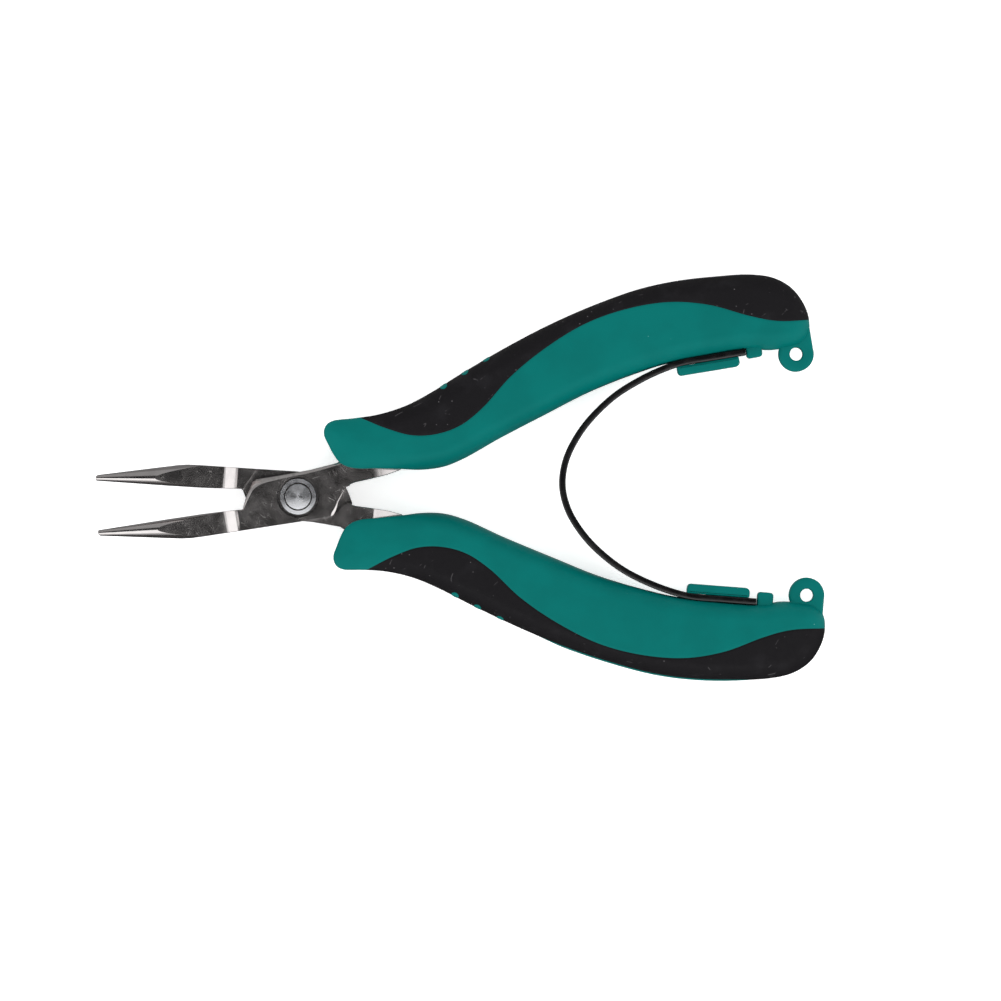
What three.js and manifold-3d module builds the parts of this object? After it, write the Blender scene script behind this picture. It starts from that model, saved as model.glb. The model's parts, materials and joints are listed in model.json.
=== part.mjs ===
// Small long-nose pliers with a lap joint, sprung open by a bow leaf spring.
// Millimetres. X runs from the jaws to the handles, Y across, +Z up off the table.
// Each lever is drawn once in its own closed frame: pivot at the origin, jaw along -X
// on the -Y side, handle along +X on the +Y side, joint mid-plane at z = 0. The second
// lever is the first one turned over about X.
import * as THREE from 'three';
import Module from 'manifold-3d';

const wasm = await Module();
wasm.setup();

// ---- driving dimensions -------------------------------------------------------
const GAP = 0.3;               // air between pieces that touch on the real tool
const OPEN_HALF = 6.9;         // degrees each lever is turned from closed
const BLOCK_HALF = 3.8;        // half thickness of the joint block
const LAP_GAP = 0.15;          // half the air between the two lap plates
const JAW_HALF = 2.0;          // half thickness of the jaw flats
const TANG_HALF = 1.5;         // half thickness of the tang inside the handle
const TIP_X = -37.4;           // nose tip
const FLAT_END_X = -15.8;      // jaw flat meets the concave ramp
const STEP_X = -11.6;          // ramp ends at the joint block
const TANG_STEP_X = 13.2;      // joint block starts to thin down to the tang
const HOLE_R = 2.1;            // pivot hole in the plates
const COUNTERBORE_R = 3.76;    // seat of the bush
const COUNTERBORE_Z = 2.4;
const BUSH_R = 3.46;
const BUSH_BORE_R = 2.8;
const RIVET_R = 1.8;
const RIVET_HEAD_R = 2.5;
const HANDLE_HALF = 6.0;       // half thickness of the handles
const ROUND_PLAN = 2.4;        // edge rounding seen from above
const ROUND_SIDE = 3.4;        // edge rounding seen from the side
const GRIP_DEPTH = 1.5;        // thickness of the soft grip
const LOOP = { x: 94.4, y: 10.9, r: 3.25, hole: 1.2, half: 2.0 };
const SPRING_T = 1.2;          // strip thickness
const SPRING_HALF_W = 3.0;     // half the strip width
const SEAT_Y = 12.8;           // strip centre line between handle wall and hook bar
const LUGS_X = [29.5, 33.8, 38.1];

// ---- small helpers --------------------------------------------------------------
const v2 = (x, y) => new THREE.Vector2(x, y);
const toVectors = (pairs) => pairs.map(([x, y]) => v2(x, y));

function solid(geometry) {
  const g = geometry.index ? geometry.clone() : geometry;
  g.deleteAttribute('normal');
  g.deleteAttribute('uv');
  const welded = mergePoints(g);
  return new wasm.Manifold(new wasm.Mesh({
    numProp: 3,
    vertProperties: welded.points,
    triVerts: welded.faces,
  }));
}

// Weld equal vertices so the shell is closed.
function mergePoints(geometry) {
  const position = geometry.attributes.position;
  const index = geometry.index;
  const count = index ? index.count : position.count;
  const known = new Map();
  const points = [];
  const faces = [];
  for (let i = 0; i < count; i += 3) {
    const corner = [];
    for (let k = 0; k < 3; k += 1) {
      const at = index ? index.getX(i + k) : i + k;
      const p = [position.getX(at), position.getY(at), position.getZ(at)];
      const key = p.map((c) => Math.round(c * 1e5)).join(',');
      if (!known.has(key)) {
        known.set(key, points.length / 3);
        points.push(...p);
      }
      corner.push(known.get(key));
    }
    if (corner[0] !== corner[1] && corner[1] !== corner[2] && corner[2] !== corner[0]) {
      faces.push(...corner);
    }
  }
  return { points: new Float32Array(points), faces: new Uint32Array(faces) };
}

function toGeometry(body) {
  const mesh = body.getMesh();
  const geometry = new THREE.BufferGeometry();
  const points = new Float32Array(mesh.numVert * 3);
  for (let i = 0; i < mesh.numVert; i += 1) {
    for (let k = 0; k < 3; k += 1) {
      points[i * 3 + k] = mesh.vertProperties[i * mesh.numProp + k];
    }
  }
  geometry.setAttribute('position', new THREE.BufferAttribute(points, 3));
  geometry.setIndex(new THREE.BufferAttribute(new Uint32Array(mesh.triVerts), 1));
  geometry.computeVertexNormals();
  return geometry;
}

function named(body, name, material) {
  const mesh = new THREE.Mesh(toGeometry(body), material.clone());
  mesh.name = name;
  return mesh;
}

const addAll = (bodies) => bodies.reduce((a, b) => a.add(b));

// A flat outline raised from z0 to z1.
function prism(outline, z0, z1) {
  const shape = new THREE.Shape(outline);
  const geometry = new THREE.ExtrudeGeometry(shape, { depth: z1 - z0, bevelEnabled: false });
  geometry.translate(0, 0, z0);
  return solid(geometry);
}

function box(x0, x1, y0, y1, z0, z1) {
  const geometry = new THREE.BoxGeometry(x1 - x0, y1 - y0, z1 - z0);
  geometry.translate((x0 + x1) / 2, (y0 + y1) / 2, (z0 + z1) / 2);
  return solid(geometry);
}

// A round bar standing on Z.
function post(x, y, r, z0, z1, segments = 40) {
  const geometry = new THREE.CylinderGeometry(r, r, z1 - z0, segments);
  geometry.rotateX(Math.PI / 2);
  geometry.translate(x, y, (z0 + z1) / 2);
  return solid(geometry);
}

// A body turned from a profile of (radius, z) pairs, closed on itself or on the axis.
function turned(profile, segments = 40) {
  const geometry = new THREE.LatheGeometry(toVectors(profile), segments);
  geometry.rotateX(Math.PI / 2);
  return solid(geometry);
}

// Rings of equal length joined into one closed body.
function loft(rings) {
  const points = rings.flat().flat();
  const n = rings[0].length;
  const faces = [];
  for (let r = 0; r + 1 < rings.length; r += 1) {
    for (let i = 0; i < n; i += 1) {
      const a = r * n + i;
      const b = r * n + ((i + 1) % n);
      faces.push(a, b, b + n, a, b + n, a + n);
    }
  }
  const last = (rings.length - 1) * n;
  for (let i = 1; i + 1 < n; i += 1) {
    faces.push(0, i + 1, i, last, last + i, last + i + 1);
  }
  const geometry = new THREE.BufferGeometry();
  geometry.setAttribute('position', new THREE.Float32BufferAttribute(points, 3));
  geometry.setIndex(faces);
  return solid(geometry);
}

const spline = (pairs, count) => new THREE.SplineCurve(toVectors(pairs)).getPoints(count);

const arc = (r, from, to, count) => Array.from({ length: count + 1 }, (_, i) => {
  const angle = THREE.MathUtils.degToRad(from + ((to - from) * i) / count);
  return [r * Math.cos(angle), r * Math.sin(angle)];
});

// The curve moved sideways by d, to its left as it is walked.
function beside(points, d) {
  return points.map((p, i) => {
    const before = points[Math.max(0, i - 1)];
    const after = points[Math.min(points.length - 1, i + 1)];
    const t = after.clone().sub(before).normalize();
    return v2(p.x - t.y * d, p.y + t.x * d);
  });
}

// ---- steel levers ------------------------------------------------------------------
// Rear edge of the lap plate: an arc about the pivot, then out to the tang. The plate
// of the second lever carries a short heel that shows behind the first one.
const PLAIN_REAR = [...arc(7.25, -36, -18, 3), [7.8, -0.95], [8.75, 0.3], [9.3, 0.4]];
const HEEL_REAR = [...arc(7.25, -36, -30, 1), [8.35, -2.55], [8.75, -1.95], [9.2, -1.1], [9.85, 0.3]];

// Walls of the recess that receives the other plate, in the closed position.
const RECESS_FRONT = [[-7.95, -5.6], [-7.95, -4.6], [-8.87, -3.0], [-9.7, -1.7], [-10.95, 0.7], [-10.95, 5.8]];
const RECESS_PLAIN = [...arc(7.62, 50, 20, 4), [8.15, 1.2], [9.0, 0.5], [10.4, 0.6], [10.4, -5.6]];
const RECESS_HEEL = [...arc(7.62, 50, 33, 2), [8.5, 3.1], [9.15, 2.15], [9.55, 1.3], [10.2, 0.2], [10.2, -5.6]];

function leverPlan(rear) {
  const jawInner = [[TIP_X, -0.15], [TIP_X + 0.25, -0.05], [-24, -0.15], [-18, -0.25], [-13.5, -0.45]];
  const plateFront = [[-10.45, -0.62], [-9.41, 1.56], [-8.58, 2.84], [-7.95, 4.0], [-7.2, 4.38]];
  const plateTop = [[-2.6, 4.36], [2.9, 4.48], [8.04, 4.93]];
  const tangOuter = [[10.5, 6.2], [14, 7.4], [20, 7.9], [25, 8.3], [30, 9.8], [36, 12.3], [45, 15.9],
    [57, 19.3], [68, 21.3], [75.5, 21.9]];
  const tangInner = [[76.3, 20.8], [75.6, 19.4], [68, 18.5], [57, 16.1], [45, 12.4], [36, 8.8], [30, 6.0],
    [25, 4.1], [21.5, 2.75], [19, 1.75], [16.6, 1.31], [13, 1.02], [10.6, 0.89], [9.84, 0.72]];
  const under = [[5.5, -4.55], [-1, -4.6], [-9, -4.5], [-18, -4.4], [-20.6, -4.33], [-22.5, -4.1],
    [TIP_X + 0.3, -1.16], [TIP_X, -0.95]];
  const walk = [...jawInner, ...plateFront, ...plateTop, ...tangOuter, ...tangInner,
    ...rear.slice().reverse(), ...under];
  return toVectors(walk).reverse();
}

// Height of the blank along X: jaw flats, concave ramp, joint block, concave ramp, tang.
function leverSide() {
  const ramp = (x0, z0, x1, z1) => {
    const rise = z1 - z0;
    const run = Math.abs(x1 - x0);
    const r = (run * run + rise * rise) / (2 * rise);
    return [0, 0.25, 0.5, 0.75, 1].map((t) => {
      const d = run * t;
      return [x0 + (x1 - x0) * t, z0 + r - Math.sqrt(r * r - d * d)];
    });
  };
  const top = [
    [TIP_X - 1, JAW_HALF],
    ...ramp(FLAT_END_X, JAW_HALF, STEP_X, BLOCK_HALF),
    ...ramp(20.5, TANG_HALF, TANG_STEP_X, BLOCK_HALF).reverse(),
    [80, TANG_HALF],
  ];
  const bottom = top.map(([x, z]) => [x, -z]).reverse();
  const shape = new THREE.Shape(toVectors([...bottom, ...top]).reverse());
  const geometry = new THREE.ExtrudeGeometry(shape, { depth: 44, bevelEnabled: false });
  geometry.rotateX(Math.PI / 2);
  geometry.translate(0, 33, 0);
  return solid(geometry);
}

// The nose is a tapered oval cone whose ridge leans out from the tip.
function noseCone() {
  const geometry = new THREE.CylinderGeometry(1, 1, 1, 36, 1);
  geometry.rotateZ(Math.PI / 2);
  const position = geometry.attributes.position;
  for (let i = 0; i < position.count; i += 1) {
    const s = (position.getX(i) + 0.5) * 24;
    const x = TIP_X - 1 + s;
    const along = x - TIP_X;
    position.setXYZ(
      i,
      x,
      -0.575 - 0.105 * along + (0.56 + 0.098 * along) * position.getY(i),
      (0.6 + 0.128 * along) * position.getZ(i),
    );
  }
  return solid(geometry);
}

// Bevel along the front corner and the upper edge of the lap plate.
function plateBevel() {
  const line = [
    [[-10.6, -1.0], [-10.1, -0.7], 0.3],
    [[-9.41, 1.56], [-8.6, 1.55], 0.9],
    [[-8.58, 2.84], [-7.6, 2.6], 1.2],
    [[-7.7, 4.35], [-6.3, 3.22], 1.3],
    [[-2.6, 4.4], [-2.6, 3.55], 0.9],
    [[2.9, 4.52], [2.9, 3.75], 0.85],
    [[9.5, 5.4], [9.5, 4.6], 0.8],
  ];
  const rings = line.map(([outer, inner, drop]) => {
    const dx = outer[0] - inner[0];
    const dy = outer[1] - inner[1];
    const far = [outer[0] + dx * 0.5, outer[1] + dy * 0.5];
    return [
      [inner[0], inner[1], BLOCK_HALF],
      [far[0], far[1], BLOCK_HALF - drop * 1.5],
      [far[0], far[1], BLOCK_HALF + 2],
      [inner[0], inner[1], BLOCK_HALF + 2],
    ];
  });
  return loft(rings);
}

function lever(rear, recess) {
  const blank = prism(leverPlan(rear), -BLOCK_HALF, BLOCK_HALF).intersect(leverSide());
  const noseBlock = box(TIP_X - 2, FLAT_END_X, -6, 2, -3, 3);
  const pocket = prism(toVectors([...RECESS_FRONT, ...recess]), -BLOCK_HALF - 1, LAP_GAP);
  const seat = post(0, 0, COUNTERBORE_R, COUNTERBORE_Z, BLOCK_HALF + 1);
  return blank
    .subtract(noseBlock.subtract(noseCone()))
    .subtract(pocket)
    .subtract(post(0, 0, HOLE_R, -BLOCK_HALF - 1, BLOCK_HALF + 1))
    .subtract(seat)
    .subtract(plateBevel());
}

// ---- handle --------------------------------------------------------------------------
const OUTER_EDGE = [[97.55, 17.2], [96.9, 20.2], [95.2, 23.2], [92.4, 25.45], [88.5, 26.7], [82, 27.4],
  [75, 27.75], [68, 27.4], [60, 26.0], [51, 23.75], [42, 20.8], [33, 17.35], [27, 14.85], [22, 13.2],
  [17, 12.45], [12.6, 12.5], [9.6, 12.65]];
const INNER_EDGE = [[7.0, 8.4], [7.85, 6.4], [9.2, 4.4], [11.4, 3.3], [15, 2.75], [19, 2.0], [23, 1.2],
  [27, 1.05], [31, 1.9], [38, 4.45], [47, 7.4], [56, 10.25], [65, 12.3], [73, 13.65], [79, 13.8], [84.5, 13.75],
  [87.5, 13.1], [89.5, 12.45], [92, 12.3], [95.0, 12.5], [97.0, 14.2]];
const FRONT = [[7.75, 12.0], [6.85, 10.3]];
const SEAM = [[8.5, 15.2], [13.4, 12.5], [18, 9.7], [22.5, 7.65], [27, 7.15], [31.5, 8.0], [36, 10.5],
  [42, 15.3], [49, 19.35], [57, 22.6], [65, 24.05], [73, 24.0], [80, 22.3], [87, 19.1], [92, 17.35],
  [99.5, 16.5]];

// Thickness of the handle along X, as a share of the full thickness.
function swell(x) {
  const front = THREE.MathUtils.smoothstep(x, 4, 22);
  const rear = THREE.MathUtils.smoothstep(100 - x, 0, 16);
  return (0.8 + 0.2 * front) * (0.62 + 0.38 * rear);
}

function swollen(geometry) {
  const position = geometry.attributes.position;
  for (let i = 0; i < position.count; i += 1) {
    position.setZ(i, position.getZ(i) * swell(position.getX(i)));
  }
  return solid(geometry);
}

// An outline with rounded edges, centred on z = 0.
function pillow(outline, half, plan, side, segments) {
  const geometry = new THREE.ExtrudeGeometry(new THREE.Shape(outline), {
    depth: 2 * (half - side),
    steps: 1,
    bevelThickness: side,
    bevelSize: plan,
    bevelOffset: -plan,
    bevelSegments: segments,
  });
  geometry.translate(0, 0, side - half);
  return swollen(geometry);
}

function handleOutline() {
  const loop = [...INNER_EDGE, ...OUTER_EDGE, ...FRONT];
  const curve = new THREE.CatmullRomCurve3(loop.map(([x, y]) => new THREE.Vector3(x, y, 0)), true);
  return curve.getSpacedPoints(62).slice(0, -1).map((p) => v2(p.x, p.y));
}

const handleBody = pillow(handleOutline(), HANDLE_HALF, ROUND_PLAN, ROUND_SIDE, 3);

// Everything on the outer side of the seam, shifted away from it by d.
function outside(d) {
  const seam = spline(SEAM, 30).map((p) => v2(p.x, p.y + d));
  return prism([...seam, v2(99.5, 33), v2(6, 33), v2(6, 15.2 + d)], -9, 9);
}

// The bed the soft grip lies on, sunk below the handle surface by depth.
function bed(depth) {
  const edge = beside(spline(OUTER_EDGE, 26), depth);
  const first = edge[0];
  const last = edge[edge.length - 1];
  const under = [[last.x, 8], [20, 5], [30, 5.2], [40, 9], [50, 14], [62, 18.5], [74, 19], [86, 16.2]];
  const outline = [...edge, ...toVectors(under), v2(first.x, first.y - 1.6)];
  return pillow(outline, HANDLE_HALF - depth, 1.2, 1.9, 2);
}

// Short upright ribs that stand through the grip along the outer edge.
function lug(x, grow) {
  const edge = spline(OUTER_EDGE, 200);
  const at = edge.reduce((a, b) => (Math.abs(b.x - x) < Math.abs(a.x - x) ? b : a));
  const r = 0.75 + grow;
  const shape = new THREE.Shape();
  shape.absarc(0, 2.2, r, 0, Math.PI, false);
  shape.absarc(0, -2.2, r, Math.PI, 2 * Math.PI, false);
  const geometry = new THREE.ExtrudeGeometry(shape, {
    depth: 3.4 + (grow > 0 ? 2 : 0),
    bevelEnabled: false,
    curveSegments: 5,
  });
  geometry.translate(0, 0, -3.2);
  geometry.rotateX(-Math.PI / 2);
  geometry.rotateZ(THREE.MathUtils.degToRad(22));
  geometry.translate(at.x, at.y, 0);
  return solid(geometry);
}

// The same ribs trimmed to stand a little proud of the handle surface.
const trimmedLug = (x) => lug(x, 0).intersect(handleBody.translate([-0.05, 0.13, 0]));

// Socket in the core for the tang and the rear of the joint block.
function socket() {
  const tang = [[8.0, 9.2], [14, 9.2], [20, 8.35], [25, 8.75], [30, 10.2], [36, 12.7], [45, 16.3],
    [57, 19.7], [68, 21.75], [76.4, 22.35], [76.9, 20.8], [76.2, 19.0], [68, 18.05], [57, 15.65],
    [45, 11.95], [36, 8.35], [30, 5.55], [25, 3.65], [22, 2.45], [19.5, 1.4], [18, -1]];
  const slot = prism(toVectors([[4, -1], ...tang.slice().reverse(), [4, 9.2]]),
    -TANG_HALF - GAP, TANG_HALF + GAP);
  const throat = [[4, -2], [17.5, -2], [21, 1.2], [21, 8.3], [14, 7.85], [10.3, 6.6], [7.6, 5.3], [4, 5.0]];
  const side = [[4, BLOCK_HALF + GAP], [TANG_STEP_X + 0.4, BLOCK_HALF + GAP], [15.6, 2.9],
    [18, 2.15], [21, TANG_HALF + GAP]];
  const profile = toVectors([...side.map(([x, z]) => [x, -z]), ...side.slice().reverse()]);
  const wedge = new THREE.ExtrudeGeometry(new THREE.Shape(profile), { depth: 40, bevelEnabled: false });
  wedge.rotateX(Math.PI / 2);
  wedge.translate(0, 20, 0);
  const mouth = prism(toVectors(throat), -9, 9).intersect(solid(wedge));
  return slot.intersect(box(12, 80, -5, 30, -9, 9)).add(mouth);
}

function hook() {
  const bar = pillowBar(72.4, 83.9, 10.4, 11.9, SPRING_HALF_W);
  const neck = box(75.9, 80.1, 11.7, 16.0, -1.1, 1.1);
  const stop = pillowBar(85.4, 88.3, 11.15, 16.0, 2.6);
  return [bar, neck, stop];
}

function pillowBar(x0, x1, y0, y1, half) {
  const r = 0.7;
  const shape = new THREE.Shape();
  shape.absarc(x1 - r, y0 + r, r, -Math.PI / 2, 0, false);
  shape.lineTo(x1, y1);
  shape.lineTo(x0, y1);
  shape.absarc(x0 + r, y0 + r, r, Math.PI, 1.5 * Math.PI, false);
  const geometry = new THREE.ExtrudeGeometry(shape, {
    depth: 2 * half,
    bevelEnabled: false,
    curveSegments: 4,
  });
  geometry.translate(0, 0, -half);
  return solid(geometry);
}

function lanyardLoop() {
  const ring = post(LOOP.x, LOOP.y, LOOP.r, -LOOP.half, LOOP.half, 36);
  const stem = prism(toVectors([[LOOP.x, LOOP.y], [LOOP.x + LOOP.r, LOOP.y], [97.6, 15.6], [91.5, 15.6],
    [LOOP.x - LOOP.r, LOOP.y + 1.4]]), -LOOP.half, LOOP.half);
  return ring.add(stem);
}

function handleCore() {
  const skin = outside(-0.2).subtract(bed(GRIP_DEPTH + GAP));
  const body = handleBody.subtract(skin).subtract(socket());
  const lugs = LUGS_X.map((x) => trimmedLug(x));
  return addAll([body, lanyardLoop(), ...hook(), ...lugs])
    .subtract(post(LOOP.x, LOOP.y, LOOP.hole, -9, 9, 24));
}

function softGrip() {
  const body = handleBody.intersect(outside(0.2)).subtract(bed(GRIP_DEPTH));
  return LUGS_X.reduce((grip, x) => grip.subtract(lug(x, GAP)), body);
}

// ---- pivot ---------------------------------------------------------------------------
function rivet() {
  const top = BLOCK_HALF + 0.6;
  const under = COUNTERBORE_Z + GAP;
  return turned([[0, -top], [RIVET_HEAD_R - 0.35, -top], [RIVET_HEAD_R, -top + 0.3],
    [RIVET_HEAD_R, -under], [RIVET_R, -under], [RIVET_R, under], [RIVET_HEAD_R, under],
    [RIVET_HEAD_R, top - 0.3], [RIVET_HEAD_R - 0.35, top], [0, top]]);
}

function bush() {
  const under = COUNTERBORE_Z + GAP;
  return turned([[BUSH_BORE_R, under], [BUSH_R, under], [BUSH_R, BLOCK_HALF + 0.02],
    [BUSH_BORE_R + 0.16, BLOCK_HALF + 0.55], [BUSH_BORE_R, BLOCK_HALF + 0.42], [BUSH_BORE_R, under]]);
}

// ---- bow leaf spring, drawn in the open position -------------------------------------
function leafSpring() {
  const tilt = THREE.MathUtils.degToRad(OPEN_HALF);
  const seat = (x) => v2(
    x * Math.cos(tilt) - SEAT_Y * Math.sin(tilt),
    x * Math.sin(tilt) + SEAT_Y * Math.cos(tilt),
  );
  const bow = [[48.5, 0], [49.3, 4.4], [51.5, 8.6], [54.35, 12.1], [58.9, 16.0], [64.2, 18.95], [69.0, 20.85]];
  const upper = [...toVectors(bow), seat(74), seat(79), seat(84.7)];
  const lower = upper.slice(1).map((p) => v2(p.x, -p.y)).reverse();
  const line = new THREE.SplineCurve([...lower, ...upper]).getPoints(72);
  const outline = [...beside(line, -SPRING_T / 2), ...beside(line, SPRING_T / 2).reverse()];
  const strip = prism(outline, -SPRING_HALF_W, SPRING_HALF_W);
  const window = box(75.4, 80.6, SEAT_Y - 2, SEAT_Y + 2, -1.5, 1.5);
  return strip
    .subtract(window.rotate([0, 0, OPEN_HALF]))
    .subtract(window.rotate([180, 0, 0]).rotate([0, 0, -OPEN_HALF]));
}

// ---- materials -----------------------------------------------------------------------
const STEEL = new THREE.MeshStandardMaterial({ color: 0x8d9095, metalness: 1, roughness: 0.3 });
const BRIGHT = new THREE.MeshStandardMaterial({ color: 0xb9bdc4, metalness: 1, roughness: 0.22 });
const TEAL = new THREE.MeshStandardMaterial({ color: 0x00756d, metalness: 0, roughness: 0.45 });
const BLACK = new THREE.MeshStandardMaterial({ color: 0x1f1d21, metalness: 0, roughness: 0.7 });
const SPRING = new THREE.MeshStandardMaterial({ color: 0x141316, metalness: 0.6, roughness: 0.3 });

// ---- assembly ------------------------------------------------------------------------
const upperArm = new THREE.Group();
upperArm.rotation.z = THREE.MathUtils.degToRad(OPEN_HALF);
upperArm.add(named(lever(PLAIN_REAR, RECESS_HEEL), 'jaw_lever_a', STEEL));
upperArm.add(named(handleCore(), 'handle_core_upper', TEAL));
upperArm.add(named(softGrip(), 'soft_grip_upper', BLACK));

const turnedOver = new THREE.Group();
turnedOver.rotation.x = Math.PI;
turnedOver.add(named(lever(HEEL_REAR, RECESS_PLAIN), 'jaw_lever_b', STEEL));
turnedOver.add(named(handleCore(), 'handle_core_lower', TEAL));
turnedOver.add(named(softGrip(), 'soft_grip_lower', BLACK));
const lowerArm = new THREE.Group();
lowerArm.rotation.z = THREE.MathUtils.degToRad(-OPEN_HALF);
lowerArm.add(turnedOver);

const pivot = new THREE.Group();
pivot.add(named(rivet(), 'pivot_rivet', BRIGHT));
pivot.add(named(bush(), 'pivot_bush_front', BRIGHT));
const rearBush = named(bush(), 'pivot_bush_rear', BRIGHT);
rearBush.rotation.x = Math.PI;
pivot.add(rearBush);

const pliers = new THREE.Group();
pliers.add(upperArm, lowerArm, pivot, named(leafSpring(), 'leaf_spring', SPRING));

// Origin at the middle of the footprint, on the table.
const bounds = new THREE.Box3().setFromObject(pliers, true);
const middle = bounds.getCenter(new THREE.Vector3());
pliers.position.set(-middle.x, -middle.y, -bounds.min.z);

const group = new THREE.Group();
group.name = 'pliers';
group.add(pliers);
export default group;
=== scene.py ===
"""Looks for the long-nose pliers: finished meshes, materials, soft studio light and the camera."""

import json
import math

import bmesh
import bpy
import numpy as np
from mathutils import Matrix, Vector
from mathutils.geometry import delaunay_2d_cdt

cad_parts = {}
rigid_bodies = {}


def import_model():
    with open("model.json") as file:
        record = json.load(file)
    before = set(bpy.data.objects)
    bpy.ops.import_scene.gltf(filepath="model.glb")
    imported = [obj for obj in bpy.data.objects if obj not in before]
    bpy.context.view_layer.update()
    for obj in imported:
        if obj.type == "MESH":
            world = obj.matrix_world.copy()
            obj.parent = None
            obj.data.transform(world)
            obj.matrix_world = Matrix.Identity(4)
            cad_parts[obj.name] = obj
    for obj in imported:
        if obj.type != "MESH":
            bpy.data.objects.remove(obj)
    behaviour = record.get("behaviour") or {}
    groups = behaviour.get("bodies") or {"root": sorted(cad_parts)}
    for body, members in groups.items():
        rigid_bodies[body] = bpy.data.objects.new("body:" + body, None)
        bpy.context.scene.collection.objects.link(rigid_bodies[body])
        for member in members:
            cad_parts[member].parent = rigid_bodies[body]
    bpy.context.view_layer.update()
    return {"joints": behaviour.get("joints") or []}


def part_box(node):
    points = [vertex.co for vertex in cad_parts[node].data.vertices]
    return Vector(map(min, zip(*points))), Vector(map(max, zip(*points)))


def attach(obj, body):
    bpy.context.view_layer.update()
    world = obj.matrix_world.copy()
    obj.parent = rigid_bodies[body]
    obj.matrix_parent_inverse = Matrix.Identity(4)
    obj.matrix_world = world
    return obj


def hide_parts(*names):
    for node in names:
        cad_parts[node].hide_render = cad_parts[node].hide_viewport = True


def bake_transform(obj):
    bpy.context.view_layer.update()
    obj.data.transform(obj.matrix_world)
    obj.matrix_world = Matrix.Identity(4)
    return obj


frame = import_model()

# ---- facts of the frame --------------------------------------------------------------
MM = 0.001
JOINT = frame["joints"][0]
UPPER, LOWER = JOINT["parent"], JOINT["child"]
PIVOT = Vector(JOINT["pos_m"])
OPEN_HALF = math.radians(6.9)  # each lever is turned this far from closed

# ---- handle sizes, in millimetres, in the lever's own closed frame -------------------
HALF = (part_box("handle_core_upper")[1].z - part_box("handle_core_upper")[0].z) / 2 / MM
ROUND_PLAN = 3.0   # the rounded side reaches this far in from the outline
WALL = 1.2         # half height of the upright side along the middle of the handle
FRONT_WALL = 4.7   # and round the front end, where it closes over the steel
CROWN, CROWN_REACH = 0.35, 9.0
GRIP_DEPTH = 1.3
SEAM_FADE = 3.0    # where the grip is narrower than this, its bed gets shallower
GROOVE_DEPTH, GROOVE_W = 0.13, 0.16
GROOVE_FADE = 1.5  # where grip or core is narrower than this, the groove gets shallower
BED_POINTS, EDGE_POINTS = 7, 26
OUTER_EDGE = [
    (97.55, 17.2), (96.9, 20.2), (95.2, 23.2), (92.4, 25.45), (88.5, 26.7), (82, 27.4),
    (75, 27.75), (68, 27.4), (60, 26.0), (51, 23.75), (42, 20.8), (33, 17.35), (27, 14.85),
    (22, 13.2), (17, 12.45), (12.6, 12.5), (10.2, 12.68), (9.0, 12.7),
]
FRONT = [(7.87, 12.32), (7.12, 11.45), (6.9, 10.35)]
INNER_EDGE = [
    (7.4, 8.4), (8.1, 6.3), (8.9, 4.85), (10.1, 3.9), (11.7, 3.3), (15, 2.75), (19, 2.0), (23, 1.2),
    (27, 1.05), (31, 1.9), (38, 4.45), (47, 7.4), (56, 10.25), (65, 12.2), (71, 13.05),
    (79, 13.3), (84.5, 13.3), (87.5, 12.95), (89.5, 12.45), (92, 12.3), (95.0, 12.5),
    (97.0, 14.2),
]
SEAM = [
    (8.5, 15.2), (13.4, 12.5), (18, 9.7), (22.5, 7.65), (27, 7.15), (31.5, 8.0), (36, 10.5),
    (42, 15.3), (49, 19.35), (57, 22.6), (65, 24.05), (73, 24.0), (80, 22.3), (87, 19.1),
    (92, 17.35), (99.5, 16.5),
]
LUGS_X = (29.5, 33.8, 38.1)
LOOP = {
    "x": 94.4, "y": 10.9, "r": 3.25, "hole": 1.2, "half": 2.0,
    "top": 15.6, "front": 91.2, "rear": 97.62,  # limits of the stem that joins it to the handle
}
LUG_REACH = (4.1, 3.8, 3.5)  # half height of each lug
LUG_HALF_W = 0.7
SEAT_Y = 12.8                # middle of the spring strip where a handle holds it
SPRING_T = 1.2
SPRING_HALF_W = 3.0
# The two handles in the photo are not quite alike. The front end lies this far forward on
# the upper one and back on the lower one; tails, lugs and spring stops differ too.
FRONT_PUSH = 0.37
TAIL_UPPER, TAIL_LOWER = 0.25, 0.7
LUG_SHIFT_LOWER = 0.45
STOP_END_UPPER, STOP_END_LOWER = 11.5, 10.95

# ---- pivot sizes ---------------------------------------------------------------------
HEAD_R = 2.33
RING_INNER, RING_OUTER = 2.55, 3.32


def arm_matrix(lower):
    """From a lever's own closed frame, in millimetres, to the row frame, in metres."""
    turn = Matrix.Rotation(-OPEN_HALF if lower else OPEN_HALF, 4, "Z")
    over = Matrix.Rotation(math.pi, 4, "X") if lower else Matrix.Identity(4)
    return Matrix.Translation(PIVOT) @ turn @ over @ Matrix.Scale(MM, 4)


# ---- curves --------------------------------------------------------------------------
def smooth_line(points, per, closed=False):
    """A centripetal Catmull-Rom line through the points, with so many steps for each."""
    p = [np.array(q, float) for q in points]
    if closed:
        p = [p[-1]] + p + [p[0], p[1]]
    else:
        p = [2 * p[0] - p[1]] + p + [2 * p[-1] - p[-2]]
    line = []
    for a, b, c, d in zip(p, p[1:], p[2:], p[3:]):
        ta, tb, tc = (max(np.linalg.norm(v) ** 0.5, 1e-6) for v in (b - a, c - b, d - c))
        m1 = tb * ((b - a) / ta - (c - a) / (ta + tb) + (c - b) / tb)
        m2 = tb * ((c - b) / tb - (d - b) / (tb + tc) + (d - c) / tc)
        for t in np.linspace(0, 1, per, endpoint=False):
            line.append(
                (2 * t**3 - 3 * t**2 + 1) * b
                + (t**3 - 2 * t**2 + t) * m1
                + (3 * t**2 - 2 * t**3) * c
                + (t**3 - t**2) * m2
            )
    if not closed:
        line.append(p[-2])
    return np.array(line)


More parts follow.
